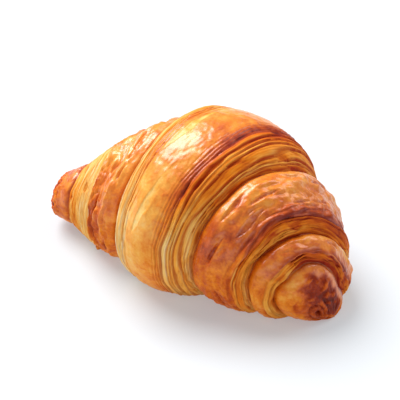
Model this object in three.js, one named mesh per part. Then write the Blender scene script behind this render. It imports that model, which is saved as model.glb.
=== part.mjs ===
// A butter croissant: one long triangle of laminated dough, rolled up from its base, bent into a slight
// crescent and baked as a single piece. Millimetres, +Z up. The origin is on the table, under the middle
// of the bounding box; +X runs along the roll and both tips bend towards -Y.
//
// The skin is one closed grid. Its rows follow the edges of the dough's turns and its columns go round the
// roll. A turn is a smooth crust that ends in a raised brow; from the brow the cut edge of the layers runs
// down to a crease, and the next turn out comes up from under it.
import * as THREE from "three";

// Overall sizes.
const LENGTH = 150; // along the roll, tip to tip
const BELLY_HALF_WIDTH = 41; // across the roll at its widest
const BELLY_HALF_HEIGHT = 39; // from the roll's centre to its crown, before the tray flattens it
const CRESCENT_RISE = 9; // how far the middle stands behind the line through the tips
const PRESSED_DEPTH = 6.5; // what the tray pressed off the belly's underside

// Tips.
const LEFT_TIP_HALF_WIDTH = 8; // what the roll tapers to at the -X tip, before its nose rounds off
const RIGHT_TIP_HALF_WIDTH = 12; // and at the +X tip
const LEFT_FULLNESS = 1.4; // 1 would taper straight; the more, the longer the roll stays full
const RIGHT_FULLNESS = 2.7;
const LEFT_TIP_ROUNDING = 6; // length of the rounded nose at the -X tip
const RIGHT_TIP_ROUNDING = 7; // and at the +X tip
const LEFT_TIP_LIFT = 8; // how far the -X tip's centre rises off the line of the belly
const RIGHT_TIP_LIFT = 1;

// The steps between turns.
const CREASE_DEPTH = 2.6; // creases, below the smooth girth
const BROW_RISE = 1.6; // brows, above it
const CRUST_CROWN = 1.2; // swell of a crust between its crease and its brow
const TONGUE_BROW_RISE = 4.1; // the last turn, the tongue, lies on the others and stands prouder
const CREASE_ROLL = 0.35; // share of a crust that rolls up out of its crease
const STEP_FADE_HALF_WIDTH = 30; // where the roll is slimmer than this, the steps shrink with it

// Widths of the zones, out from the tongue, as shares of the way over the skin from the middle to a tip: a
// longer or shorter roll of the same dough has the same turns, only wider or narrower ones.
const TONGUE_LEFT_REACH = 0.06; // from the middle to the tongue's -X brow
const TONGUE_RIGHT_REACH = 0.21; // and to its +X brow
const LEFT_WIDTHS = [0.15, 0.27, 0.26]; // the tongue's cut edge, then the left turn and its cut edge
const RIGHT_WIDTHS = [0.16, 0.23, 0.07, 0.08, 0.05]; // the tongue's cut edge, then two turns with theirs

// How far the edges lean off square, in the same shares: most towards -X at the angle LEAN_TOWARDS round the
// roll, where 0 is the front (-Y), 90 the crown and 180 the back.
const TONGUE_LEFT_LEAN = 0.11;
const LEFT_LEAN = 0.03; // beyond the tongue's own edges
const RIGHT_LEAN = 0.13;
const LEAN_TOWARDS = -25;

// The rolled-up end of the dough, on the front of the +X nose: its share over the skin and its angle.
const END_WHORL = { at: 0.9, towards: -10 };

// Grid.
const COLUMNS = 60;
const CRUST_ROWS = [0, 0.06, 0.16, 0.35, 0.6, 0.85]; // shares of a crust's width where a row runs
const CUT_EDGE_ROWS = [0, 0.35, 0.7]; // the same down a cut edge
const SKIN_STEPS = 4000; // steps in which the skin's length is measured

const HALF_LENGTH = LENGTH / 2;
const HEIGHT_PER_WIDTH = BELLY_HALF_HEIGHT / BELLY_HALF_WIDTH;

// Half width of the smooth roll at a station along X.
function halfWidth(station) {
  const left = station < 0;
  const tipHalfWidth = left ? LEFT_TIP_HALF_WIDTH : RIGHT_TIP_HALF_WIDTH;
  const fullness = left ? LEFT_FULLNESS : RIGHT_FULLNESS;
  const rounding = left ? LEFT_TIP_ROUNDING : RIGHT_TIP_ROUNDING;
  const outward = Math.abs(station) / HALF_LENGTH;
  const girth = BELLY_HALF_WIDTH - (BELLY_HALF_WIDTH - tipHalfWidth) * outward ** fullness;
  const intoNose = THREE.MathUtils.clamp((Math.abs(station) - (HALF_LENGTH - rounding)) / rounding, 0, 1);
  return girth * Math.sqrt(1 - intoNose ** 2);
}

// Distance over the skin from the middle to each of many stations, towards one tip (side is -1 or 1).
function measureSkin(side) {
  const stations = [0];
  const distances = [0];
  for (let i = 1; i <= SKIN_STEPS; i++) {
    const station = side * HALF_LENGTH * Math.sin(((Math.PI / 2) * i) / SKIN_STEPS);
    const step = Math.hypot(
      station - stations[i - 1],
      halfWidth(station) - halfWidth(stations[i - 1]),
    );
    stations.push(station);
    distances.push(distances[i - 1] + step);
  }
  return { stations, distances };
}

const SKIN = { left: measureSkin(-1), right: measureSkin(1) };

// Station along X at a share of the way over the skin, -1 at the -X tip and 1 at the +X tip.
function stationAt(share) {
  const { stations, distances } = share < 0 ? SKIN.left : SKIN.right;
  const distance = Math.min(Math.abs(share), 1) * distances[SKIN_STEPS];
  let low = 0;
  let high = SKIN_STEPS;
  while (high - low > 1) {
    const middle = (low + high) >> 1;
    if (distances[middle] > distance) high = middle;
    else low = middle;
  }
  const part = (distance - distances[low]) / (distances[high] - distances[low]);
  return THREE.MathUtils.lerp(stations[low], stations[high], part);
}

// Point on the roll at a share over the skin and an angle round it, lifted off the smooth skin.
function skinPoint(share, angle, lift) {
  const nearby = 2e-4;
  const station = stationAt(share);
  const before = stationAt(share - nearby);
  const after = stationAt(share + nearby);
  const slope = Math.atan2(halfWidth(after) - halfWidth(before), after - before);
  const outward = lift * Math.cos(slope);
  const forward = -lift * Math.sin(slope);

  const part = station / HALF_LENGTH;
  const bend = Math.atan2(-2 * CRESCENT_RISE * part, HALF_LENGTH);
  const tipLift = (station < 0 ? LEFT_TIP_LIFT : RIGHT_TIP_LIFT) * Math.abs(part) ** 3;
  const half = halfWidth(station);
  const halfHeight = half * HEIGHT_PER_WIDTH;
  const pressed = PRESSED_DEPTH * (halfHeight / BELLY_HALF_HEIGHT);

  const across = -(half + outward) * Math.cos(angle);
  const up = (halfHeight + outward) * Math.sin(angle);
  return new THREE.Vector3(
    station + forward * Math.cos(bend) - across * Math.sin(bend),
    -CRESCENT_RISE * part ** 2 + forward * Math.sin(bend) + across * Math.cos(bend),
    Math.max(halfHeight - pressed + tipLift + up, 0),
  );
}

// Lift over a tip, from its crease (0) to its nose (1): it rolls up out of the crease.
function tipCrustLift(share) {
  const rolledUp = share < CREASE_ROLL ? Math.sqrt(1 - (1 - share / CREASE_ROLL) ** 2) : 1;
  return -CREASE_DEPTH * (1 - rolledUp);
}

// Lift across a crust, from its crease (0) to its brow (1).
function crustLift(share) {
  const crown = CRUST_CROWN * Math.sin(Math.PI * share);
  const brow = BROW_RISE * Math.max(0, 2 * share - 1) ** 2;
  return tipCrustLift(share) + crown + brow;
}

// Lift over the tongue's crust, between its two brows.
function tongueLift(share) {
  return TONGUE_BROW_RISE + CRUST_CROWN * Math.sin(Math.PI * share);
}

// Lift down a cut edge, from its brow (0) to the crease (1).
function cutEdgeLift(browRise) {
  return (share) => browRise - (browRise + CREASE_DEPTH) * share ** 1.5;
}

// The zones between the edges, in order. A zone whose outer side faces -X is measured from its far end.
const ZONES = [
  { lift: tipCrustLift, rows: CRUST_ROWS, facesLeft: true },
  { lift: cutEdgeLift(BROW_RISE), rows: CUT_EDGE_ROWS, facesLeft: true },
  { lift: crustLift, rows: CRUST_ROWS, facesLeft: true },
  { lift: cutEdgeLift(TONGUE_BROW_RISE), rows: CUT_EDGE_ROWS, facesLeft: true },
  { lift: tongueLift, rows: CRUST_ROWS, facesLeft: false },
  { lift: cutEdgeLift(TONGUE_BROW_RISE), rows: CUT_EDGE_ROWS, facesLeft: false },
  { lift: crustLift, rows: CRUST_ROWS, facesLeft: false },
  { lift: cutEdgeLift(BROW_RISE), rows: CUT_EDGE_ROWS, facesLeft: false },
  { lift: crustLift, rows: CRUST_ROWS, facesLeft: false },
  { lift: cutEdgeLift(BROW_RISE), rows: CUT_EDGE_ROWS, facesLeft: false },
  { lift: tipCrustLift, rows: CRUST_ROWS, facesLeft: false },
];

// Edges out from one of the tongue's brows: the brow itself, then one at the end of each zone.
function edgesOutwards(side, reach, widths, tongueLean, outerLean) {
  const edges = [{ at: side * reach, lean: tongueLean }];
  widths.forEach((width, i) => {
    edges.push({ at: edges[i].at + side * width, lean: i === 0 ? tongueLean : outerLean });
  });
  return edges;
}

// All edges of the turns, from the -X tip to the +X tip.
const TURN_EDGES = [
  ...edgesOutwards(-1, TONGUE_LEFT_REACH, LEFT_WIDTHS, TONGUE_LEFT_LEAN, LEFT_LEAN).reverse(),
  ...edgesOutwards(1, TONGUE_RIGHT_REACH, RIGHT_WIDTHS, RIGHT_LEAN, RIGHT_LEAN),
];

// Share over the skin of edge number i at an angle; the -X nose stands in for the edge before the first.
function edgeShare(i, angle) {
  if (i < 0) return -1;
  const { at, lean } = TURN_EDGES[i];
  return at - lean * Math.cos(angle - THREE.MathUtils.degToRad(LEAN_TOWARDS));
}

// A spot on the +X half as a flat vector from the nose: as long as its share from there, at its own angle.
function fromNose(share, angle) {
  return new THREE.Vector2(Math.cos(angle), Math.sin(angle)).multiplyScalar(1 - share);
}

const WHORL = fromNose(END_WHORL.at, THREE.MathUtils.degToRad(END_WHORL.towards));

// Share and angle of a spot part of the way across a zone. The last zone closes in on the whorl.
function spotAcross(zoneIndex, angle, across) {
  const near = edgeShare(zoneIndex - 1, angle);
  if (zoneIndex === ZONES.length - 1) {
    const spot = fromNose(near, angle).lerp(WHORL, across);
    return { share: 1 - spot.length(), angle: spot.angle() };
  }
  return { share: THREE.MathUtils.lerp(near, edgeShare(zoneIndex, angle), across), angle };
}

// One row of points round the roll, part of the way across a zone.
function zoneRow(zoneIndex, across) {
  const zone = ZONES[zoneIndex];
  const lift = zone.lift(zone.facesLeft ? 1 - across : across);
  const row = [];
  for (let column = 0; column < COLUMNS; column++) {
    const spot = spotAcross(zoneIndex, (2 * Math.PI * column) / COLUMNS, across);
    const slimness = Math.min(halfWidth(stationAt(spot.share)) / STEP_FADE_HALF_WIDTH, 1);
    row.push(skinPoint(spot.share, spot.angle, lift * slimness));
  }
  return row;
}

// All rows from the -X nose to the whorl, without those two points.
function skinRows() {
  const rows = [];
  ZONES.forEach((zone, zoneIndex) => {
    const shares = zone.facesLeft ? zone.rows.map((share) => 1 - share).reverse() : zone.rows;
    // A row on an edge belongs to one zone only.
    for (const across of shares) {
      const onSharedEdge = zone.facesLeft && across === 1 && !ZONES[zoneIndex + 1].facesLeft;
      if (!onSharedEdge) rows.push(zoneRow(zoneIndex, across));
    }
  });
  return rows;
}

// Closed skin: quads between neighbouring rows, split into triangles, and a fan at each end.
function croissantGeometry() {
  const rows = skinRows();
  const whorl = skinPoint(1 - WHORL.length(), WHORL.angle(), 0);
  const points = [skinPoint(-1, 0, 0), ...rows.flat(), whorl];
  const leftEnd = 0;
  const rightEnd = points.length - 1;
  const at = (row, column) => 1 + row * COLUMNS + (column % COLUMNS);
  const index = [];
  for (let column = 0; column < COLUMNS; column++) {
    index.push(leftEnd, at(0, column), at(0, column + 1));
    index.push(rightEnd, at(rows.length - 1, column + 1), at(rows.length - 1, column));
    for (let row = 0; row < rows.length - 1; row++) {
      const a = at(row, column);
      const b = at(row, column + 1);
      const c = at(row + 1, column + 1);
      const d = at(row + 1, column);
      index.push(a, c, b, a, d, c);
    }
  }
  const geometry = new THREE.BufferGeometry().setFromPoints(points);
  geometry.setIndex(index);
  geometry.computeBoundingBox();
  const middle = geometry.boundingBox.getCenter(new THREE.Vector3());
  geometry.translate(-middle.x, -middle.y, 0);
  geometry.computeVertexNormals();
  return geometry;
}

// Egg-washed crust, baked golden brown.
const crust = new THREE.MeshStandardMaterial({ color: 0xd0752c, roughness: 0.42, metalness: 0 });

const croissant = new THREE.Mesh(croissantGeometry(), crust);
croissant.name = "croissant";

const part = new THREE.Group();
part.add(croissant);

export default part;
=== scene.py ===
"""The finished look of a butter croissant: its sculpted, baked skin, standing for the plain solid.

One closed skin is built row by row along the edges of the dough's turns. A turn is a smooth,
egg-washed crust that ends in a dark brow; from the brow the cut edge of the layers runs down to a
crease, and the next turn out comes up from under it. The layers, folds, blisters and the whorl of
the rolled-up end are all shape. The skin also carries how brown each spot is baked, painted shade
where it lies deep between layers, in creases, gashes, pits and the whorl, and a painted highlight
on the layers' lips; the finish reads these.

Sizes are millimetres inside the classes and metres on the Blender objects. Angles round the roll
are 0 at the front (-Y), 90 degrees at the crown and 180 at the back.
"""

import logging
import math
from dataclasses import dataclass, field
from enum import Enum
from functools import cached_property

import bpy
import numpy as np
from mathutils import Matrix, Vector


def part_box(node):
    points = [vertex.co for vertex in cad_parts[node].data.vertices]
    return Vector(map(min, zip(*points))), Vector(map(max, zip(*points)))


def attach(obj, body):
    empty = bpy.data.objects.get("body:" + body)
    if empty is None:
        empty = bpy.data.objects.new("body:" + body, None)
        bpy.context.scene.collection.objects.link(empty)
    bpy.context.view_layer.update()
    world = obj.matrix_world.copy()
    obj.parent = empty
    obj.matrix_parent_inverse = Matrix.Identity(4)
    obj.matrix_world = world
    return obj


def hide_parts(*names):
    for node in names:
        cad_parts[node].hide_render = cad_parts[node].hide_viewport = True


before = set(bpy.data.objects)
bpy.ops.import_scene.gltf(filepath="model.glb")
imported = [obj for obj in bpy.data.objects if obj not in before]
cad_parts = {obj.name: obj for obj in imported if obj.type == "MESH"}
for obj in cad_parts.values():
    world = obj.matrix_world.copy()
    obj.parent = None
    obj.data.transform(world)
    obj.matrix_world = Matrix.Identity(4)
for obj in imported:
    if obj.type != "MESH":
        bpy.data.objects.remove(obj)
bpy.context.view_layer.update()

LOG = logging.getLogger("croissant")
MM = 0.001
NODE = "croissant"
RING_RADIUS = 36  # of the ring that the noise round the roll is read on, near the roll's own


def linear(hex_colour: str) -> tuple[float, float, float, float]:
    """Turn an sRGB hex colour into a linear colour.

    Args:
        hex_colour: six hex digits, such as "d0752c".

    Returns:
        Linear red, green and blue, with alpha 1.
    """
    parts = [int(hex_colour[i : i + 2], 16) / 255 for i in (0, 2, 4)]
    lin = [c / 12.92 if c <= 0.04045 else ((c + 0.055) / 1.055) ** 2.4 for c in parts]
    return lin[0], lin[1], lin[2], 1.0


def ramp(low: float, high: float, x: np.ndarray) -> np.ndarray:
    """Rise smoothly from 0 at low to 1 at high, or fall if low is above high.

    Args:
        low: where the result is 0.
        high: where the result is 1.
        x: the values to map.

    Returns:
        The smooth step of each value.
    """
    t = np.clip((x - low) / (high - low), 0.0, 1.0)
    return t * t * (3 - 2 * t)


def ring_spots(angle: np.ndarray, over: np.ndarray | float) -> np.ndarray:
    """Give each spot coordinates that run along the turns' edges and across them.

    Args:
        angle: angles round the roll.
        over: millimetres across the turns.

    Returns:
        Points on a straight tube, with the way across the turns along the last axis.
    """
    around = [RING_RADIUS * np.cos(angle), RING_RADIUS * np.sin(angle)]
    return np.stack([*around, over * np.ones_like(angle)], axis=-1)


@dataclass(frozen=True)
class Grain:
    """Seeded, smooth noise in space, about -1 to 1, for everything the oven left uneven.

    A bare number added to the points that it reads only moves the pattern, so that no two line up.
    """

    seed: int

    @cached_property
    def _shuffle(self) -> np.ndarray:
        """The lattice's shuffled order."""
        order = np.random.default_rng(self.seed).permutation(256)
        return np.concatenate([order, order, order])

    @cached_property
    def _slopes(self) -> np.ndarray:
        """One unit slope for each lattice value."""
        slopes = np.random.default_rng(self.seed + 1).normal(size=(256, 3))
        return slopes / np.linalg.norm(slopes, axis=1)[:, None]

    def at(self, spots: np.ndarray, size: float | tuple[float, float, float]) -> np.ndarray:
        """Read the noise.

        Args:
            spots: points, with x, y and z along the last axis.
            size: length of one swell, the same or one for each axis.

        Returns:
            A value for each point.
        """
        place = spots / np.asarray(size, float)
        cell = np.floor(place).astype(int)
        part = place - cell
        fade = part**3 * (part * (part * 6 - 15) + 10)
        cell &= 255
        total = np.zeros(place.shape[:-1])
        for corner in range(8):
            step = np.array([corner & 1, (corner >> 1) & 1, corner >> 2])
            at = cell + step
            pick = self._shuffle[self._shuffle[self._shuffle[at[..., 0]] + at[..., 1]] + at[..., 2]]
            slope = self._slopes[pick]
            weight = np.prod(np.where(step == 1, fade, 1 - fade), axis=-1)
            total += weight * np.sum(slope * (part - step), axis=-1)
        # With unit slopes the sum seldom passes 0.6, so this brings it to about 1.
        return total * 1.6

    def layered(self, spots: np.ndarray, size: float, octaves: int = 3) -> np.ndarray:
        """Sum finer and finer noise.

        Args:
            spots: points, with x, y and z along the last axis.
            size: length of the largest swell.
            octaves: how many sizes, each half the last.

        Returns:
            A value for each point.
        """
        parts = [Grain(self.seed + 11 * i).at(spots, size / 2**i) / 2**i for i in range(octaves)]
        return np.sum(parts, axis=0)


class Zone(Enum):
    """What a stretch of the skin is."""

    TIP = "an end of the roll"
    CRUST = "smooth outside of a turn"
    TONGUE = "smooth outside of the last turn"
    CUT_EDGE = "cut edge of a turn, where its layers show"


@dataclass(frozen=True)
class TurnEdge:
    """An edge of a turn, as a ring that leans off square.

    at is the share of the way over the skin from the middle to a tip, and lean how far the ring
    leans in the same shares, most towards -X at the angle given by towards.
    """

    at: float
    lean: float
    towards: float = -25

    def share(self, angle: np.ndarray) -> np.ndarray:
        """Give the edge's share over the skin at each angle round the roll."""
        return self.at - self.lean * np.cos(angle - math.radians(self.towards))


@dataclass(frozen=True)
class TurnEdges:
    """Where the turns' edges run: widths and leans as in the plain solid.

    Widths are shares of the way over the skin, out from one of the tongue's brows to the tip.
    """

    left_reach: float = 0.06
    left_widths: tuple[float, ...] = (0.15, 0.27, 0.26)
    left_lean: float = 0.03
    tongue_left_lean: float = 0.11
    right_reach: float = 0.21
    right_widths: tuple[float, ...] = (0.16, 0.23, 0.07, 0.08, 0.05)
    right_lean: float = 0.13

    def outwards(self, reach: float, widths: tuple[float, ...]) -> list[float]:
        """Give the share of each edge on one side: the tongue's brow, then the end of each zone."""
        return [reach + sum(widths[:i]) for i in range(len(widths) + 1)]

    def all(self) -> list[TurnEdge]:
        """List every edge, from the -X tip to the +X tip."""
        left = self.outwards(self.left_reach, self.left_widths)
        right = self.outwards(self.right_reach, self.right_widths)
        # The tongue's brow and its crease lean more than what lies beyond them.
        leans = [self.tongue_left_lean, self.tongue_left_lean] + [self.left_lean] * (len(left) - 2)
        edges = [TurnEdge(-at, lean) for at, lean in zip(left, leans)]
        return edges[::-1] + [TurnEdge(at, self.right_lean) for at in right]


@dataclass(frozen=True)
class Roll:
    """The smooth roll of dough under all detail: sizes and taper as in the plain solid."""

    length: float = 150
    belly_half_width: float = 41
    belly_half_height: float = 39
    crescent_rise: float = 9
    pressed_depth: float = 6.5
    left_tip_half_width: float = 8
    right_tip_half_width: float = 12
    left_fullness: float = 1.4
    right_fullness: float = 2.7
    left_rounding: float = 6
    right_rounding: float = 7
    left_lift: float = 8
    right_lift: float = 1
    skin_steps: int = 4000

    @property
    def half_length(self) -> float:
        """Half the roll's length."""
        return self.length / 2

    def half_width(self, station: np.ndarray) -> np.ndarray:
        """Give the half width of the smooth roll.

        Args:
            station: places along X.

        Returns:
            The half width at each.
        """
        left = station < 0
        tip = np.where(left, self.left_tip_half_width, self.right_tip_half_width)
        fullness = np.where(left, self.left_fullness, self.right_fullness)
        rounding = np.where(left, self.left_rounding, self.right_rounding)
        outward = np.abs(station) / self.half_length
        girth = self.belly_half_width - (self.belly_half_width - tip) * outward**fullness
        nose = np.clip((np.abs(station) - (self.half_length - rounding)) / rounding, 0, 1)
        return girth * np.sqrt(1 - nose**2)

    @cached_property
    def _skin(self) -> tuple[np.ndarray, np.ndarray]:
        """Shares over the skin, -1 to 1, and the station of each."""
        turn = np.linspace(0, np.pi / 2, self.skin_steps + 1)
        shares, stations = [], []
        for side in (-1, 1):
            station = side * self.half_length * np.sin(turn)
            step = np.hypot(np.diff(station), np.diff(self.half_width(station)))
            distance = np.concatenate([[0], np.cumsum(step)])
            shares.append(side * distance / distance[-1])
            stations.append(station)
        return (
            np.concatenate([shares[0][::-1], shares[1][1:]]),
            np.concatenate([stations[0][::-1], stations[1][1:]]),
        )

    def station(self, share: np.ndarray) -> np.ndarray:
        """Give the station along X at each share over the skin."""
        return np.interp(share, *self._skin)

    def point(self, share: np.ndarray, angle: np.ndarray, lift: np.ndarray) -> np.ndarray:
        """Place spots on the roll.

        Args:
            share: shares over the skin.
            angle: angles round the roll, in radians.
            lift: how far each spot stands off the smooth skin.

        Returns:
            Points with x, y and z along the last axis. Nothing is pressed flat yet.
        """
        nearby = 2e-4
        station = self.station(share)
        before, after = self.station(share - nearby), self.station(share + nearby)
        slope = np.arctan2(self.half_width(after) - self.half_width(before), after - before)
        outward, forward = lift * np.cos(slope), -lift * np.sin(slope)
        part = station / self.half_length
        bend = np.arctan2(-2 * self.crescent_rise * part, self.half_length)
        tip_lift = np.where(station < 0, self.left_lift, self.right_lift) * np.abs(part) ** 3
        half = self.half_width(station)
        half_height = half * self.belly_half_height / self.belly_half_width
        pressed = self.pressed_depth * half_height / self.belly_half_height
        across = -(half + outward) * np.cos(angle)
        up = (half_height + outward) * np.sin(angle)
        return np.stack(
            [
                station + forward * np.cos(bend) - across * np.sin(bend),
                -self.crescent_rise * part**2 + forward * np.sin(bend) + across * np.cos(bend),
                half_height - pressed + tip_lift + up,
            ],
            axis=-1,
        )


@dataclass
class Relief:
    """What the dough of one zone does at each spot, before it is laid on the roll.

    lift is the zone's own step, and relief the folds, blisters and layers on it. brown is what they
    add to the zone's browning, and cut how bare they lie. The remaining value is painted shade,
    darkest where a spot lies deep between layers, in the bottom of a crease or in a pit.
    """

    lift: np.ndarray
    relief: np.ndarray
    brown: np.ndarray
    gap: np.ndarray
    cut: np.ndarray


@dataclass
class Patch:
    """One zone of finished skin: a value for every row and column.

    wash is how much egg wash is left on a spot, and ring where it lies along and across the turns.
    """

    share: np.ndarray
    angle: np.ndarray
    lift: np.ndarray
    brown: np.ndarray
    gap: np.ndarray
    cut: np.ndarray
    wash: np.ndarray
    ring: np.ndarray


@dataclass
class Plies:
    """The layers of a cut edge: their lift, painted shade in the gaps between them, and a tint that is partly
    each layer's own toast and partly painted light, paler on the lips and browner in the mouths.
    """

    lift: np.ndarray
    gap: np.ndarray
    tint: np.ndarray


@dataclass(frozen=True)
class Turn:
    """A zone between two edges, and how its dough was laid and baked.

    Browning runs from 0, pale dough, to 1, nearly burnt. front and crown give its level low at the
    front and up at the crown, each as a pair: where the zone begins, at a crust's crease or a cut
    edge's brow, and where it ends.
    """

    name: str
    kind: Zone
    width: float
    faces_left: bool
    brow_rise: float
    front: tuple[float, float]
    crown: tuple[float, float]
    brow_brown: float = 0.0
    folds: float = 0.0
    rough: float = 0.0
    flaking: float = 0.0
    seed: int = 0

    def brown(self, q: np.ndarray, crown: np.ndarray) -> np.ndarray:
        """Give the even part of the browning.

        Args:
            q: how far each spot is from where the zone begins.
            crown: 0 low at the front, 1 at the crown.

        Returns:
            The level at each spot.
        """
        low = self.front[0] + (self.front[1] - self.front[0]) * q
        high = self.crown[0] + (self.crown[1] - self.crown[0]) * q
        return low + (high - low) * crown


@dataclass(frozen=True)
class Folds:
    """Soft swells and puffs along a crust, some of them pinched into gashes.

    Each pattern has the length of one swell along the turn, twice, and its length across the turn.
    """

    swell: tuple[float, float, float] = (19, 19, 7.5)
    swell_height: float = 0.95
    wrinkle: tuple[float, float, float] = (11, 11, 3.2)
    wrinkle_height: float = 0.5
    wrinkle_pale: float = 0.06
    puff: tuple[float, float, float] = (7.5, 7.5, 3.8)
    puff_height: float = 1.0
    gash: tuple[float, float, float] = (19, 19, 2.8)
    gash_depth: float = 0.75
    gash_shade: float = 0.09

    def shape(self, made: Relief, turn: Turn, q: np.ndarray, ring: np.ndarray) -> None:
        """Fold a crust.

        Args:
            made: the crust to change.
            turn: its zone.
            q: how far each spot is from its crease.
            ring: coordinates along and across the turn.
        """
        grain = Grain(turn.seed)
        swell = grain.at(ring, self.swell)
        wrinkle = grain.at(ring + 40, self.wrinkle)
        puff = np.abs(grain.at(ring + 140, self.puff))
        gash = ramp(0.32, 0.62, grain.at(ring + 60, self.gash))
        depth = turn.folds * ramp(0.03, 0.3, q)
        height = self.swell_height * swell + self.wrinkle_height * wrinkle + self.puff_height * puff
        made.relief += depth * (height - self.gash_depth * gash)
        # Painted shade browns the gashes.
        made.brown += depth * (self.gash_shade * gash - self.wrinkle_pale * wrinkle)


@dataclass(frozen=True)
class Blisters:
    """Blisters that steam raised under the egg wash, and the clouds and mottles of a crust's brown."""

    blister: float = 3.4
    blister_height: float = 0.2
    blister_brown: float = 0.07
    pimple: float = 1.4
    pimple_height: float = 0.12
    cloud: float = 19.0
    cloud_brown: float = 0.12
    mottle: float = 6.0
    mottle_brown: float = 0.08

    def shape(self, made: Relief, turn: Turn, skin: np.ndarray) -> None:
        """Blister a crust.

        Args:
            made: the crust to change.
            turn: its zone.
            skin: points on the smooth roll.
        """
        grain = Grain(turn.seed)
        blister = grain.layered(skin, self.blister, 2)
        made.relief += self.blister_height * blister
        made.relief += self.pimple_height * grain.at(skin + 30, self.pimple)
        made.brown += self.blister_brown * blister
        made.brown += self.cloud_brown * grain.at(skin, self.cloud)
        made.brown += self.mottle_brown * grain.at(skin + 50, self.mottle)


@dataclass(frozen=True)
class Flakes:
    """Patches where the outermost sheet flaked off and the paler one under it shows."""

    size: tuple[float, float, float] = (21, 21, 4.5)
    depth: float = 0.3
    pale: float = 0.17
    bare: float = 0.35

    def shape(self, made: Relief, turn: Turn, q: np.ndarray, ring: np.ndarray) -> None:
        """Flake a crust.

        Args:
            made: the crust to change.
            turn: its zone.
            q: how far each spot is from its crease.
            ring: coordinates along and across the turn.
        """
        flaked = ramp(0.30, 0.36, Grain(turn.seed).at(ring + 110, self.size)) * ramp(0.62, 0.4, q)
        flaked = turn.flaking * flaked
        made.relief -= self.depth * flaked
        made.brown -= self.pale * flaked
        made.cut += self.bare * flaked


@dataclass(frozen=True)
class TornEnd:
    """Knobs and crumbs, and the pits between them, where an end was torn rather than rolled."""

    knob: float = 2.1
    crumb: float = 1.2
    swollen: float = 1.3
    knob_height: float = 1.1
    pit_shade: float = 0.4
    pit_shade_brown: float = 0.27
    bare: float = 0.8

    def shape(self, made: Relief, turn: Turn, q: np.ndarray, skin: np.ndarray) -> None:
        """Tear a tip.

        Args:
            made: the tip's crust to change.
            turn: its zone.
            q: how far each spot is from its crease.
            skin: points on the smooth roll.
        """
        grain = Grain(turn.seed)
        torn = turn.rough * ramp(0.2, 0.6, q)
        knob = grain.at(skin + 70, self.knob) + 0.5 * grain.at(skin + 80, self.crumb)
        pit = torn * ramp(-0.05, -0.5, knob)
        made.relief += torn * (self.swollen + self.knob_height * knob)
        # Painted shade darkens and browns the pits between the knobs.
        made.gap += self.pit_shade * pit
        made.brown += self.pit_shade_brown * pit
        made.cut += self.bare * torn


@dataclass(frozen=True)
class Layers:
    """The layers of a cut edge, as shingles, each with a lip and a slit under it. The slits, the
    hollows between thin sheets and the mouths get painted shade, and each lip a painted highlight.

    lip_at, lip_width and slit_width are shares of a layer's pitch, and the threes are the lengths of
    one swell along the turn, twice, and across it.
    """

    pitch: float = 1.75
    height: float = 0.66
    drift: tuple[float, float, float] = (38, 38, 16)
    waver: tuple[float, float, float] = (15, 15, 5)
    ply_apart: float = 7.31
    proud: tuple[float, float, float] = (15, 15, 1.7)
    tint: tuple[float, float, float] = (30, 30, 1.3)
    lip_at: float = 0.86
    lip_width: float = 0.10
    slit_width: float = 0.19
    sheets_per_layer: float = 2.1
    sheet_waver: tuple[float, float, float] = (18, 18, 4)
    sheet_depth: float = 0.2
    fibre: tuple[float, float, float] = (15, 15, 0.7)
    fibre_height: float = 0.12
    mouth: tuple[float, float, float] = (13, 13, 2.6)
    mouth_depth: float = 0.6

    def lay(self, turn: Turn, q: np.ndarray, ring: np.ndarray) -> Plies:
        """Lay the layers out.

        Args:
            turn: the zone.
            q: how far across the zone each spot is.
            ring: coordinates along and across the turn.

        Returns:
            The layers.
        """
        grain = Grain(turn.seed + 3)
        # Layers run nearly along the edge, but drift, thicken and pinch out.
        drift = 1.2 * grain.at(ring, self.drift) + 0.3 * grain.at(ring + 90, self.waver)
        uneven = 0.5 * np.sin(5.1 * q + turn.seed) + 0.35 * np.sin(12.7 * q + 2 * turn.seed)
        place = q * turn.width / self.pitch + drift + uneven
        ply = np.floor(place)
        part = place - ply
        # Each layer reads its own stretch of noise, so it stands proud or lies back as one sheet.
        own = np.concatenate([ring[..., :2], (ply * self.ply_apart)[..., None]], axis=-1)
        proud = grain.at(own + 13, self.proud)
        tint = 1.5 * grain.at(own + 57, self.tint)
        tread = part - 0.5
        lip = np.exp(-(((part - self.lip_at) / self.lip_width) ** 2))
        slit = np.exp(-((np.minimum(part, 1 - part) / self.slit_width) ** 2))
        slit = slit * np.clip(0.85 + 0.8 * proud, 0, 1.3)
        # Thinner sheets within each layer.
        sheet_place = place * self.sheets_per_layer + 1.2 * grain.at(ring + 23, self.sheet_waver)
        sheet = np.abs(2 * (sheet_place - np.floor(sheet_place)) - 1)
        fibre = grain.at(ring, self.fibre)
        # Here and there neighbouring layers part and leave a lens-shaped mouth.
        mouth = ramp(0.34, 0.6, grain.at(ring + 7, self.mouth))
        lift = self.height * (tread * (1.1 + 0.9 * proud) + 0.35 * lip - 0.8 * slit)
        lift += self.fibre_height * fibre - self.sheet_depth * sheet**3 - self.mouth_depth * mouth
        # Painted shade: the slits, the hollows between thin sheets, the fibres' low sides and the mouths are
        # darkened.
        gap = 1.05 * slit + 0.5 * sheet**4 + 0.4 * np.maximum(0, -fibre) + 0.25 * mouth
        # The tint is each layer's own toast, plus a painted highlight that pales each lip and the tread up to
        # it, and painted shade that browns the mouths.
        return Plies(lift, np.clip(gap, 0, 1), 0.8 * tint - 0.55 * lip - 0.2 * tread + 0.7 * mouth)


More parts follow.
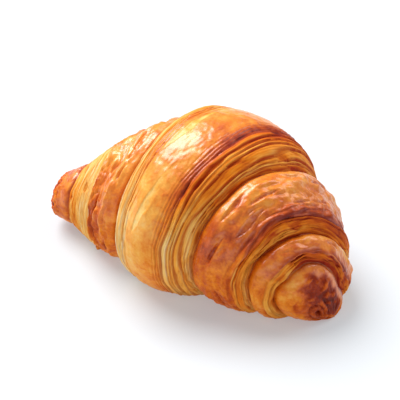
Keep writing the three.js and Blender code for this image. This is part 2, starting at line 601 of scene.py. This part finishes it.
@dataclass(frozen=True)
class Sculptor:
    """Turns a zone into finished skin: steps as in the plain solid, and the dough's relief on them."""

    roll: Roll
    folds: Folds = Folds()
    blisters: Blisters = Blisters()
    flakes: Flakes = Flakes()
    torn_end: TornEnd = TornEnd()
    layers: Layers = Layers()
    crease_depth: float = 2.6
    crust_crown: float = 1.2
    crease_roll: float = 0.35
    step_fade_half_width: float = 30
    notch_depth: float = 1.1
    notch_width: float = 0.9
    crown_towards: float = 105

    def rolled_up(self, q: np.ndarray) -> np.ndarray:
        """Rise from 0 in a crease to 1 where a crust has rolled up out of it."""
        return np.sqrt(1 - np.clip(1 - q / self.crease_roll, 0, 1) ** 2)

    def notch(self, from_crease: np.ndarray) -> np.ndarray:
        """Rise to 1 in the sharp bottom of a crease, given millimetres from it."""
        return np.exp(-((from_crease / self.notch_width) ** 2))

    def crust(self, turn: Turn, q: np.ndarray, ring: np.ndarray, skin: np.ndarray) -> Relief:
        """Shape a turn's crust, from its crease (q = 0) to its brow (q = 1).

        Args:
            turn: the zone.
            q: how far across the zone each spot is.
            ring: coordinates along and across the turn.
            skin: points on the smooth roll.

        Returns:
            The crust's relief.
        """
        out_of_crease = self.crease_depth * (1 - self.rolled_up(q))
        crown = self.crust_crown * np.sin(np.pi * q)
        notch = self.notch(q * turn.width)
        if turn.kind is Zone.TONGUE:
            # The tongue lies on top, between two brows, so it has no crease of its own.
            lift = turn.brow_rise + crown
            by_brow = np.maximum(ramp(0.72, 1.0, q), ramp(0.30, 0.0, q))
            notch = np.zeros_like(q)
        elif turn.kind is Zone.TIP:
            lift = -out_of_crease
            by_brow = np.zeros_like(q)
        else:
            lift = crown - out_of_crease + turn.brow_rise * np.maximum(0, 2 * q - 1) ** 2
            by_brow = ramp(0.7, 1.0, q)
        # The outermost layers start to show just before the brow.
        plies = self.layers.lay(turn, q, ring)
        made = Relief(
            lift=lift - self.notch_depth * notch,
            relief=0.8 * by_brow * plies.lift,
            brown=np.zeros_like(q),
            # Painted shade in the outer layers' gaps and in the bottom of the crease.
            gap=0.7 * by_brow * plies.gap + 0.8 * notch,
            cut=0.5 * by_brow,
        )
        self.folds.shape(made, turn, q, ring)
        self.blisters.shape(made, turn, skin)
        self.flakes.shape(made, turn, q, ring)
        self.torn_end.shape(made, turn, q, skin)
        made.gap = np.clip(made.gap, 0, 1)
        made.cut = np.clip(made.cut, 0, 1)
        return made

    def cut_edge(self, turn: Turn, q: np.ndarray, ring: np.ndarray) -> Relief:
        """Shape a cut edge, from its brow (q = 0) to the crease (q = 1).

        Args:
            turn: the zone.
            q: how far down the edge each spot is.
            ring: coordinates along and across the turn.

        Returns:
            The cut edge's relief.
        """
        plies = self.layers.lay(turn, q, ring)
        fall = (turn.brow_rise + self.crease_depth) * q**1.9
        notch = self.notch((1 - q) * turn.width)
        return Relief(
            lift=turn.brow_rise - fall - self.notch_depth * notch,
            relief=plies.lift * (0.45 + 0.55 * ramp(1.0, 0.93, q)),
            # Each layer's own toast, with a painted highlight on the lips and painted shade in the mouths.
            brown=0.17 * plies.tint,
            # Painted shade in the layers' gaps and in the crease at the foot.
            gap=np.clip(plies.gap + 0.7 * notch, 0, 1),
            cut=0.35 + 0.65 * ramp(0.0, 0.12, q),
        )

    def patch(
        self, turn: Turn, share: np.ndarray, angle: np.ndarray, across: np.ndarray, over: float
    ) -> Patch:
        """Shape one zone.

        Args:
            turn: the zone.
            share: shares over the skin.
            angle: angles round the roll.
            across: how far across the zone each spot is, from its -X side.
            over: how far along all zones this one starts, in millimetres.

        Returns:
            The finished zone.
        """
        q = 1 - across if turn.faces_left else across
        ring = ring_spots(angle, over + across * turn.width)
        if turn.kind is Zone.CUT_EDGE:
            made = self.cut_edge(turn, q, ring)
            by_brow = ramp(0.32, 0.0, q)
        else:
            made = self.crust(turn, q, ring, self.roll.point(share, angle, np.zeros_like(share)))
            by_brow = ramp(0.74, 1.0, q)
        towards_crown = np.cos(angle - math.radians(self.crown_towards))
        crown = ramp(0.40, 0.95, 0.5 + 0.5 * towards_crown)
        brown = made.brown + turn.brown(q, crown) + turn.brow_brown * by_brow * crown
        # Where the roll is slim, its steps shrink with it, and the finer relief a little.
        slim = np.minimum(self.roll.half_width(self.roll.station(share)) / self.step_fade_half_width, 1)
        lift = made.lift * slim + made.relief * slim**0.35
        # The wash was brushed on from above, so the crust below is dull. Bare layers took none, and
        # where the crust scorched it has burnt off.
        wash = (1 - np.minimum(made.cut * 1.25, 1)) * ramp(-0.1, 0.6, np.sin(angle))
        wash = wash * ramp(0.95, 0.60, brown)
        if turn.kind is Zone.TIP:
            # The brush missed the very ends.
            wash = wash * ramp(0.7, 0.2, q)
        # Painted shade in gaps, creases and pits, a little stronger towards the crown.
        gap = made.gap * (0.7 + 0.3 * crown)
        return Patch(share, angle, lift, brown, gap, made.cut, wash, ring)


@dataclass(frozen=True)
class Whorl:
    """The rolled-up end of the dough, a spiral on the front of the +X nose.

    share and towards place it over the skin and round the roll, in degrees. groove_width is a share
    of the pitch, and brown a level. The rest are millimetres.
    """

    share: float = 0.9
    towards: float = -10
    radius: float = 8.5
    pitch: float = 3.0
    depth: float = 0.7
    groove_width: float = 0.16
    hollow_radius: float = 2.2
    hollow_depth: float = 1.6
    brown: float = 0.06

    @property
    def spot(self) -> np.ndarray:
        """The whorl's middle as a flat vector from the nose."""
        angle = math.radians(self.towards)
        return (1 - self.share) * np.array([math.cos(angle), math.sin(angle)])

    def wind(self, patch: Patch, reach: np.ndarray, angle: np.ndarray) -> None:
        """Wind the whorl into the +X tip.

        Args:
            patch: the tip's skin, which is changed.
            reach: millimetres from the whorl's middle.
            angle: the columns' angles.
        """
        within = ramp(self.radius, self.radius * 0.6, reach)
        part = (reach / self.pitch + angle / (2 * np.pi)) % 1.0
        groove = np.exp(-(((part - 0.5) / self.groove_width) ** 2))
        hollow = ramp(self.hollow_radius, 0.0, reach)
        patch.lift -= within * (self.depth * groove + self.hollow_depth * hollow)
        # Painted shade darkens the groove and the hollow at the middle.
        patch.gap = np.clip(patch.gap + within * (0.5 * groove + 0.6 * hollow), 0, 1)
        patch.brown += within * self.brown


@dataclass(frozen=True)
class Scorch:
    """The scorched top of the +X nose, which stood proud in the oven: pale flakes lift from it."""

    ragged: float = 5.0
    flake: tuple[float, float, float] = (3.8, 3.8, 2.2)
    flake_height: float = 0.7
    flake_pale: float = 0.17
    sunk: float = 0.2
    brown: float = 0.25

    def burn(self, patch: Patch, across: np.ndarray, angle: np.ndarray, skin: np.ndarray) -> None:
        """Scorch the +X tip.

        Args:
            patch: the tip's skin, which is changed.
            across: how far towards the whorl's middle each spot is.
            angle: the columns' angles.
            skin: points on the smooth roll.
        """
        edge = across + 0.12 * Grain(33).at(skin, self.ragged)
        scorched = ramp(0.14, 0.26, edge) * ramp(0.74, 0.60, edge) * ramp(0.15, 0.6, np.sin(angle))
        flake = ramp(0.15, 0.55, Grain(34).at(skin, self.flake))
        patch.brown += scorched * (self.brown - self.flake_pale * flake)
        patch.lift += scorched * (self.flake_height * flake - self.sunk)
        patch.wash *= 1 - scorched


@dataclass(frozen=True)
class TrayFace:
    """The underside that the tray presses flat, with a soft shoulder, and bakes an even brown."""

    shoulder: float = 1.6
    sunk: float = 0.05
    dent: float = 0.12
    unevenness: float = 9
    brown: float = 0.56
    mottle_brown: float = 0.10
    cover: float = 0.75

    def press(self, points: np.ndarray, brown: np.ndarray, skin: np.ndarray) -> tuple[np.ndarray, np.ndarray]:
        """Press the skin flat.

        Args:
            points: the skin before pressing.
            brown: how brown each spot is.
            skin: points on the smooth roll.

        Returns:
            The pressed points and their brownness.
        """
        uneven = Grain(9).layered(skin, self.unevenness)
        height = points[..., 2]
        rounded = self.shoulder * np.exp((height - self.shoulder) / self.shoulder)
        pressed = np.maximum(np.where(height < self.shoulder, rounded, height) - self.sunk, 0)
        pressed += self.dent * np.clip(uneven, 0, 1) * (height < 0)
        under = self.cover * ramp(2.5, -1.5, height)
        brown = brown * (1 - under) + under * (self.brown + self.mottle_brown * uneven)
        return np.concatenate([points[..., :2], pressed[..., None]], axis=-1), brown


BROW_RISE = 1.6  # both as in the plain solid
TONGUE_BROW_RISE = 4.1

# From the -X tip to the +X tip, each about as wide as given, in millimetres.
TURNS = (
    Turn(
        "left tip", Zone.TIP, width=22, faces_left=True, brow_rise=0,
        front=(0.54, 0.62), crown=(0.50, 0.58), rough=1.0, seed=20,
    ),
    Turn(
        "left cut edge", Zone.CUT_EDGE, width=26, faces_left=True, brow_rise=BROW_RISE,
        front=(0.20, 0.42), crown=(0.16, 0.34), seed=30,
    ),
    Turn(
        "left turn", Zone.CRUST, width=24, faces_left=True, brow_rise=BROW_RISE,
        front=(0.50, 0.52), crown=(0.42, 0.46), folds=1.6, seed=40,
    ),
    Turn(
        "tongue left cut edge", Zone.CUT_EDGE, width=17, faces_left=True, brow_rise=TONGUE_BROW_RISE,
        front=(0.16, 0.14), crown=(0.30, 0.24), seed=50,
    ),
    Turn(
        "tongue", Zone.TONGUE, width=24, faces_left=False, brow_rise=TONGUE_BROW_RISE,
        front=(0.28, 0.47), crown=(0.40, 0.53), brow_brown=0.22, flaking=1.0, seed=60,
    ),
    Turn(
        "tongue right cut edge", Zone.CUT_EDGE, width=15, faces_left=False, brow_rise=TONGUE_BROW_RISE,
        front=(0.33, 0.27), crown=(0.50, 0.38), brow_brown=0.16, seed=70,
    ),
    Turn(
        "first right turn", Zone.CRUST, width=20, faces_left=False, brow_rise=BROW_RISE,
        front=(0.58, 0.57), crown=(0.40, 0.58), brow_brown=0.16, folds=1.2, seed=80,
    ),
    Turn(
        "first right cut edge", Zone.CUT_EDGE, width=8, faces_left=False, brow_rise=BROW_RISE,
        front=(0.44, 0.36), crown=(0.62, 0.46), brow_brown=0.1, seed=90,
    ),
    Turn(
        "second right turn", Zone.CRUST, width=8, faces_left=False, brow_rise=BROW_RISE,
        front=(0.48, 0.54), crown=(0.50, 0.58), brow_brown=0.18, folds=0.8, flaking=0.7, seed=100,
    ),
    Turn(
        "second right cut edge", Zone.CUT_EDGE, width=5, faces_left=False, brow_rise=BROW_RISE,
        front=(0.38, 0.36), crown=(0.62, 0.60), seed=110,
    ),
    Turn(
        "right tip", Zone.TIP, width=18, faces_left=False, brow_rise=0,
        front=(0.46, 0.56), crown=(0.50, 0.60), folds=1.0, seed=120,
    ),
)


@dataclass
class Croissant:
    """The whole croissant: edges, zones, and the mesh they make.

    wander and shiver are how far the edges stray from even rings, as shares over the skin, and sway
    is how far the whole roll does, in millimetres. Each has the length of one swell beside it.
    """

    roll: Roll = field(default_factory=Roll)
    whorl: Whorl = field(default_factory=Whorl)
    scorch: Scorch = field(default_factory=Scorch)
    tray_face: TrayFace = field(default_factory=TrayFace)
    edges: list[TurnEdge] = field(default_factory=TurnEdges().all)
    turns: tuple[Turn, ...] = TURNS
    columns: int = 400
    row_spacing: float = 0.34
    wander: float = 0.014
    wander_length: float = 23
    shiver: float = 0.006
    shiver_length: float = 8
    sway: float = 0.55
    sway_length: float = 34

    def edge(self, k: int, angle: np.ndarray) -> np.ndarray:
        """Give the share over the skin of edge k, with the small wander that real dough has.

        Args:
            k: the edge's number; -1 stands for the -X nose.
            angle: angles round the roll.

        Returns:
            The share at each angle.
        """
        if k < 0:
            return np.full_like(angle, -1.0)
        rim = ring_spots(angle, 0.0)
        wander = self.wander * Grain(5).at(rim + 31.7 * k, self.wander_length)
        shiver = self.shiver * Grain(5).at(rim - 17.3 * k, self.shiver_length)
        return self.edges[k].share(angle) + wander + shiver

    def spots(self, i: int, angle: np.ndarray, across: np.ndarray) -> tuple[np.ndarray, np.ndarray]:
        """Place the spots of zone i. The last zone closes in on the whorl.

        Args:
            i: the zone's number.
            angle: the columns' angles.
            across: the rows' places across the zone.

        Returns:
            Shares over the skin and angles round the roll.
        """
        near = self.edge(i - 1, angle)
        if i == len(self.turns) - 1:
            flat = (1 - near)[..., None] * np.stack([np.cos(angle), np.sin(angle)], axis=-1)
            flat = flat + (self.whorl.spot - flat) * across[..., None]
            length = np.linalg.norm(flat, axis=-1)
            return 1 - length, np.arctan2(flat[..., 1], flat[..., 0])
        return near + (self.edge(i, angle) - near) * across, angle

    def patches(self) -> list[Patch]:
        """Build every zone, from the -X nose to the whorl."""
        sculptor = Sculptor(self.roll)
        angle = np.linspace(0, 2 * np.pi, self.columns, endpoint=False) - np.pi / 2
        over = 0.0
        made = []
        for i, turn in enumerate(self.turns):
            rows = max(6, round(turn.width / self.row_spacing))
            first = 0.0 if i else 1 / rows
            across = np.linspace(first, 1, rows, endpoint=False)[:, None]
            across, columns = np.broadcast_arrays(across, angle[None, :])
            share, turned = self.spots(i, columns, across)
            patch = sculptor.patch(turn, share, turned, across, over)
            if i == len(self.turns) - 1:
                skin = self.roll.point(share, turned, np.zeros_like(share))
                self.whorl.wind(patch, (1 - across) * turn.width, columns)
                self.scorch.burn(patch, across, columns, skin)
            made.append(patch)
            over += turn.width
            LOG.info("%s: %d rows, %s", turn.name, rows, turn.kind.value)
        return made

    def build(self) -> bpy.types.Object:
        """Make the mesh.

        Returns:
            The croissant, in metres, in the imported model's frame.
        """
        patches = self.patches()
        grids = {
            name: np.concatenate([getattr(patch, name) for patch in patches])
            for name in ("share", "angle", "lift", "brown", "gap", "cut", "wash")
        }
        skin = self.roll.point(grids["share"], grids["angle"], np.zeros_like(grids["lift"]))
        points = self.roll.point(grids["share"], grids["angle"], grids["lift"])
        swayed = [Grain(seed).at(skin, self.sway_length) for seed in (2, 3, 4)]
        points = points + self.sway * np.stack(swayed, axis=-1)
        points, grids["brown"] = self.tray_face.press(points, grids["brown"], skin)
        middle = (points.reshape(-1, 3).min(axis=0) + points.reshape(-1, 3).max(axis=0)) / 2
        cad_low, cad_high = (np.array(corner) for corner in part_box(NODE))
        target = (cad_low + cad_high) / 2 / MM
        shift = np.array([target[0] - middle[0], target[1] - middle[1], 0])
        ends = self.ends(patches)
        verts = np.concatenate([ends[:1], points.reshape(-1, 3), ends[1:]]) + shift
        return self.mesh(verts * MM, grids, np.concatenate([patch.ring for patch in patches]))

    def ends(self, patches: list[Patch]) -> np.ndarray:
        """Give the two points that close the skin: the -X nose and the whorl's middle."""
        spot = self.whorl.spot
        share = np.array([-1.0, 1 - np.linalg.norm(spot)])
        angle = np.array([0.0, math.atan2(spot[1], spot[0])])
        lift = np.array([patches[0].lift[0].mean(), patches[-1].lift[-1].mean()])
        return self.roll.point(share, angle, lift)

    def mesh(
        self, verts: np.ndarray, grids: dict[str, np.ndarray], ring: np.ndarray
    ) -> bpy.types.Object:
        """Join the points into one closed mesh with its maps.

        Args:
            verts: all points in metres, the -X nose first and the whorl's middle last.
            grids: the values of every row and column.
            ring: the coordinates along and across the turns.

        Returns:
            The mesh's object.
        """
        rows, columns = grids["lift"].shape
        at = 1 + np.arange(rows * columns).reshape(rows, columns)
        right = np.roll(at, -1, axis=1)
        quads = np.stack([at[:-1], at[1:], right[1:], right[:-1]], axis=-1).reshape(-1, 4)
        nose = np.stack([np.zeros(columns, int), at[0], right[0]], axis=-1)
        whorl = np.stack([np.full(columns, len(verts) - 1), right[-1], at[-1]], axis=-1)
        mesh = bpy.data.meshes.new("croissant_skin")
        mesh.from_pydata(verts, [], [*nose.tolist(), *quads.tolist(), *whorl.tolist()])
        mesh.validate()
        mesh.polygons.foreach_set("use_smooth", np.ones(len(mesh.polygons), bool))

        for name in ("brown", "gap", "cut", "wash"):
            grid = grids[name]
            values = np.concatenate([[grid[0].mean()], grid.ravel(), [grid[-1].mean()]])
            mesh.attributes.new(name, "FLOAT", "POINT").data.foreach_set("value", values)
        flat = ring.reshape(-1, 3)
        along = np.concatenate([flat[:1], flat, flat[-1:]]) * MM
        grain = mesh.attributes.new("grain", "FLOAT_VECTOR", "POINT")
        grain.data.foreach_set("vector", along.ravel())
        self.unwrap(mesh, rows, columns)
        piece = bpy.data.objects.new("croissant_skin", mesh)
        bpy.context.scene.collection.objects.link(piece)
        return piece

    def unwrap(self, mesh: bpy.types.Mesh, rows: int, columns: int) -> None:
        """Lay the skin out flat: columns run across the map and rows up it.

        Args:
            mesh: the closed skin.
            rows: its rows.
            columns: its columns.
        """
        margin = 0.004
        loops = np.zeros(len(mesh.loops), int)
        mesh.loops.foreach_get("vertex_index", loops)
        sides = np.zeros(len(mesh.polygons), int)
        mesh.polygons.foreach_get("loop_total", sides)
        face = np.repeat(np.arange(len(sides)), sides)
        first = columns
        last = len(sides) - columns
        past_nose = np.where(face >= last, face - last, (face - first) % columns)
        column_of_face = np.where(face < first, face, past_nose)
        grid = np.clip(loops - 1, 0, rows * columns - 1)
        column = (grid % columns).astype(float)
        column = np.where((column_of_face == columns - 1) & (column == 0), columns, column)
        row = (grid // columns + 1).astype(float)
        on_nose, on_whorl = loops == 0, loops == len(mesh.vertices) - 1
        column = np.where(on_nose | on_whorl, column_of_face + 0.5, column)
        row = np.where(on_nose, 0, np.where(on_whorl, rows + 1, row))
        uv = margin + (1 - 2 * margin) * np.stack([column / columns, row / (rows + 1)], axis=-1)
        mesh.uv_layers.new(name="OFBake").data.foreach_set("uv", uv.ravel())


def add_node(
    tree: bpy.types.NodeTree, kind: str, settings: dict | None = None, **inputs: object
) -> bpy.types.Node:
    """Add a node with its settings and links.

    Args:
        tree: the node tree.
        kind: the node's type name.
        settings: properties to set on the node.
        inputs: a value or an output socket for each input, by name, with _ for a space. A name
            that ends in a number, such as Value_1, is the input of that name and place.

    Returns:
        The node.
    """
    node = tree.nodes.new(kind)
    for name, value in (settings or {}).items():
        setattr(node, name, value)
    for name, value in inputs.items():
        stem, _, number = name.rpartition("_")
        if number.isdigit():
            socket = node.inputs[int(number)]
        else:
            socket = node.inputs[name.replace("_", " ")]
        if isinstance(value, bpy.types.NodeSocket):
            tree.links.new(value, socket)
        else:
            socket.default_value = value
    return node


@dataclass(frozen=True)
class BakedDough:
    """Laminated yeast dough, egg-washed and oven-baked.

    The wash dries to a thin, glossy film over the crust, so the turns catch soft highlights that
    blisters break up. The cut layers had no wash: they stay paler, dry and matt, with painted shade in
    their gaps, creases and pits.
    """

    name: str = "Egg-washed baked dough"
    # From pale dough to nearly burnt sugar.
    stages: tuple[tuple[float, str], ...] = (
        (0.00, "ffeaba"),
        (0.16, "fed27c"),
        (0.32, "fbaf42"),
        (0.48, "ee8410"),
        (0.62, "d05a00"),
        (0.78, "9a2c00"),
        (1.00, "500c00"),
    )
    # The colour of the painted shade in gaps, creases and pits.
    recess_shade_tint: str = "b8611c"
    speck_mm: float = 1.1
    # Along a layer and across it. Real fibres are finer, too fine to show.
    fibre_mm: tuple[float, float] = (7.0, 0.55)
    fine_brown: float = 0.22
    blotch_mm: float = 4.5
    blotch_brown: float = 0.16
    crust_roughness: float = 0.45
    cut_roughness: float = 0.7
    ior: float = 1.45
    specular: float = 0.2
    # Dried egg wash is nearer 1.5; this is matched to how brightly the film shines.
    wash_ior: float = 1.66
    wash_roughness: float = 0.3
    bump_strength: float = 0.7
    bump_depth_mm: float = 0.3

    def build(self) -> bpy.types.Material:
        """Make the material."""
        material = bpy.data.materials.new(self.name)
        material.use_nodes = True
        tree = material.node_tree
        tree.nodes.clear()
        brown, gap, cut, wash, grain = (
            add_node(tree, "ShaderNodeAttribute", {"attribute_name": name})
            for name in ("brown", "gap", "cut", "wash", "grain")
        )
        place = add_node(tree, "ShaderNodeTexCoord").outputs["Object"]
        speck = add_node(
            tree, "ShaderNodeTexNoise", Vector=place, Scale=1 / (self.speck_mm * MM), Detail=3.0
        )
        blotch = add_node(
            tree, "ShaderNodeTexNoise", Vector=place, Scale=1 / (self.blotch_mm * MM), Detail=2.0
        )
        along, across = self.fibre_mm
        stretched = add_node(
            tree,
            "ShaderNodeMapping",
            Vector=grain.outputs["Vector"],
            Scale=(1 / (along * MM), 1 / (along * MM), 1 / (across * MM)),
        )
        fibre = add_node(
            tree, "ShaderNodeTexNoise", Vector=stretched.outputs["Vector"], Scale=1.0, Detail=2.0
        )

        # Crust is specked and cut layers are fibrous; both are blotched, each about its own level.
        fine = add_node(
            tree,
            "ShaderNodeMix",
            {"data_type": "FLOAT"},
            Factor=cut.outputs["Fac"],
            A=speck.outputs["Fac"],
            B=fibre.outputs["Fac"],
        )
        uneven = add_node(
            tree,
            "ShaderNodeMath",
            {"operation": "MULTIPLY_ADD"},
            Value_0=fine.outputs["Result"],
            Value_1=self.fine_brown,
            Value_2=brown.outputs["Fac"],
        )
        level = add_node(
            tree,
            "ShaderNodeMath",
            {"operation": "MULTIPLY_ADD"},
            Value_0=blotch.outputs["Fac"],
            Value_1=self.blotch_brown,
            Value_2=uneven.outputs["Value"],
        )
        centred = add_node(
            tree,
            "ShaderNodeMath",
            {"operation": "SUBTRACT"},
            Value_0=level.outputs["Value"],
            Value_1=(self.fine_brown + self.blotch_brown) / 2,
        )
        colour = add_node(tree, "ShaderNodeValToRGB", Fac=centred.outputs["Value"])
        ramp_stops = colour.color_ramp.elements
        while len(ramp_stops) < len(self.stages):
            ramp_stops.new(0.5)
        for stop, (position, tone) in zip(ramp_stops, self.stages):
            stop.position = position
            stop.color = linear(tone)
        # Painted shade: the colour is multiplied towards a deep orange-brown where a spot lies deep between
        # layers, in a crease or in a pit.
        shaded = add_node(
            tree,
            "ShaderNodeMix",
            {"data_type": "RGBA", "blend_type": "MULTIPLY"},
            Factor_0=gap.outputs["Fac"],
            Color_6=colour.outputs["Color"],
            Color_7=linear(self.recess_shade_tint),
        )
        roughness = add_node(
            tree,
            "ShaderNodeMapRange",
            Value=cut.outputs["Fac"],
            To_Min=self.crust_roughness,
            To_Max=self.cut_roughness,
        )
        bump = add_node(
            tree,
            "ShaderNodeBump",
            Strength=self.bump_strength,
            Distance=self.bump_depth_mm * MM,
            Height=fine.outputs["Result"],
        )
        shader = add_node(
            tree,
            "ShaderNodeBsdfPrincipled",
            Base_Color=shaded.outputs[2],
            Roughness=roughness.outputs["Result"],
            IOR=self.ior,
            Specular_IOR_Level=self.specular,
            Coat_Weight=wash.outputs["Fac"],
            Coat_Roughness=self.wash_roughness,
            Coat_IOR=self.wash_ior,
            Normal=bump.outputs["Normal"],
        )
        out = add_node(tree, "ShaderNodeOutputMaterial")
        tree.links.new(shader.outputs["BSDF"], out.inputs["Surface"])
        return material


@dataclass(frozen=True)
class TableTop:
    """White opal acrylic of a light table, cast and satin: a plain pale floor, faintly lit from below."""

    name: str = "White opal acrylic"
    colour: str = "bcbfc3"
    glow_colour: str = "f3fbff"
    glow: float = 0.3
    roughness: float = 0.6
    specular: float = 0.2
    half_side_m: float = 30.0

    def build(self) -> bpy.types.Object:
        """Make the table top as one wide sheet."""
        side = self.half_side_m
        mesh = bpy.data.meshes.new("table_top")
        corners = [(-side, -side, 0), (side, -side, 0), (side, side, 0), (-side, side, 0)]
        mesh.from_pydata(corners, [], [(0, 1, 2, 3)])
        material = bpy.data.materials.new(self.name)
        material.use_nodes = True
        shader = material.node_tree.nodes["Principled BSDF"]
        shader.inputs["Base Color"].default_value = linear(self.colour)
        shader.inputs["Roughness"].default_value = self.roughness
        shader.inputs["Specular IOR Level"].default_value = self.specular
        shader.inputs["Emission Color"].default_value = linear(self.glow_colour)
        shader.inputs["Emission Strength"].default_value = self.glow
        mesh.materials.append(material)
        piece = bpy.data.objects.new("table_top", mesh)
        bpy.context.scene.collection.objects.link(piece)
        return piece


@dataclass(frozen=True)
class Lamp:
    """A far lamp: where it stands, how bright it is and how wide it looks, which softens its shadow."""

    name: str
    where_m: tuple[float, float, float]
    strength: float
    width_degrees: float
    shows_in_gloss: bool = True

    def build(self) -> bpy.types.Object:
        """Hang the lamp, turned to the croissant."""
        light = bpy.data.lights.new(self.name, "SUN")
        light.energy = self.strength
        light.angle = math.radians(self.width_degrees)
        lamp = bpy.data.objects.new(self.name, light)
        lamp.location = self.where_m
        lamp.rotation_euler = (-Vector(self.where_m)).to_track_quat("-Z", "Y").to_euler()
        lamp.visible_glossy = self.shows_in_gloss
        bpy.context.scene.collection.objects.link(lamp)
        return lamp


@dataclass(frozen=True)
class Studio:
    """Camera and soft light: the key from high on the left, a fill in front and a rim from behind.

    The white room is seen at full strength, lights the croissant less and shows least in its gloss.
    """

    azimuth: float = 30.0
    elevation: float = 34.0
    distance_mm: float = 430
    lens_mm: float = 85.0
    aim_mm: tuple[float, float, float] = (0.0, 0.0, 34.0)
    slide_mm: tuple[float, float] = (2.0, -2.0)
    nearest_m: float = 0.01
    lamps: tuple[Lamp, ...] = (
        Lamp("key", (-0.56, 0.14, 0.80), strength=3.7, width_degrees=42),
        Lamp("front_fill", (-0.1, -0.8, 0.5), strength=0.38, width_degrees=60, shows_in_gloss=False),
        Lamp("rim_box", (0.5, 0.65, 0.75), strength=0.8, width_degrees=35),
    )
    room_light: float = 0.36
    room_in_gloss: float = 0.23
    room_seen: float = 1.0

    def camera(self) -> None:
        """Set the camera, slid sideways and up in its own plane to place the croissant in view."""
        azimuth, elevation = math.radians(self.azimuth), math.radians(self.elevation)
        away = Vector(
            (
                math.sin(azimuth) * math.cos(elevation),
                -math.cos(azimuth) * math.cos(elevation),
                math.sin(elevation),
            )
        )
        right = Vector((math.cos(azimuth), math.sin(azimuth), 0))
        up = away.cross(right)
        slide = right * self.slide_mm[0] + up * self.slide_mm[1]
        data = bpy.data.cameras.new("camera")
        data.lens = self.lens_mm
        data.clip_start = self.nearest_m
        camera = bpy.data.objects.new("camera", data)
        camera.location = (Vector(self.aim_mm) + slide + away * self.distance_mm) * MM
        camera.rotation_euler = (-away).to_track_quat("-Z", "Y").to_euler()
        bpy.context.scene.collection.objects.link(camera)
        bpy.context.scene.camera = camera

    def lights(self) -> None:
        """Hang the lamps and light the room."""
        for lamp in self.lamps:
            lamp.build()
            LOG.info("%s: lamp", lamp.name)
        world = bpy.data.worlds.new("studio")
        world.use_nodes = True
        tree = world.node_tree
        tree.nodes.clear()
        path = add_node(tree, "ShaderNodeLightPath")
        fill = add_node(
            tree,
            "ShaderNodeMapRange",
            Value=path.outputs["Is Glossy Ray"],
            To_Min=self.room_light,
            To_Max=self.room_in_gloss,
        )
        strength = add_node(
            tree,
            "ShaderNodeMapRange",
            Value=path.outputs["Is Camera Ray"],
            To_Min=fill.outputs["Result"],
            To_Max=self.room_seen,
        )
        room = add_node(
            tree,
            "ShaderNodeBackground",
            Color=(1.0, 1.0, 1.0, 1.0),
            Strength=strength.outputs["Result"],
        )
        out = add_node(tree, "ShaderNodeOutputWorld")
        tree.links.new(room.outputs["Background"], out.inputs["Surface"])
        bpy.context.scene.world = world


def main() -> None:
    """Build the croissant, its table and the studio."""
    logging.basicConfig(level=logging.INFO, format="%(message)s")
    croissant = Croissant().build()
    croissant.data.materials.append(BakedDough().build())
    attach(croissant, "root")
    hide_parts(NODE)
    LOG.info("%s: %d faces", croissant.name, len(croissant.data.polygons))

    table = TableTop().build()
    LOG.info("%s: stage", table.name)

    studio = Studio()
    studio.camera()
    studio.lights()
    bpy.context.scene.view_settings.view_transform = "Standard"


if __name__ == "__main__":
    main()
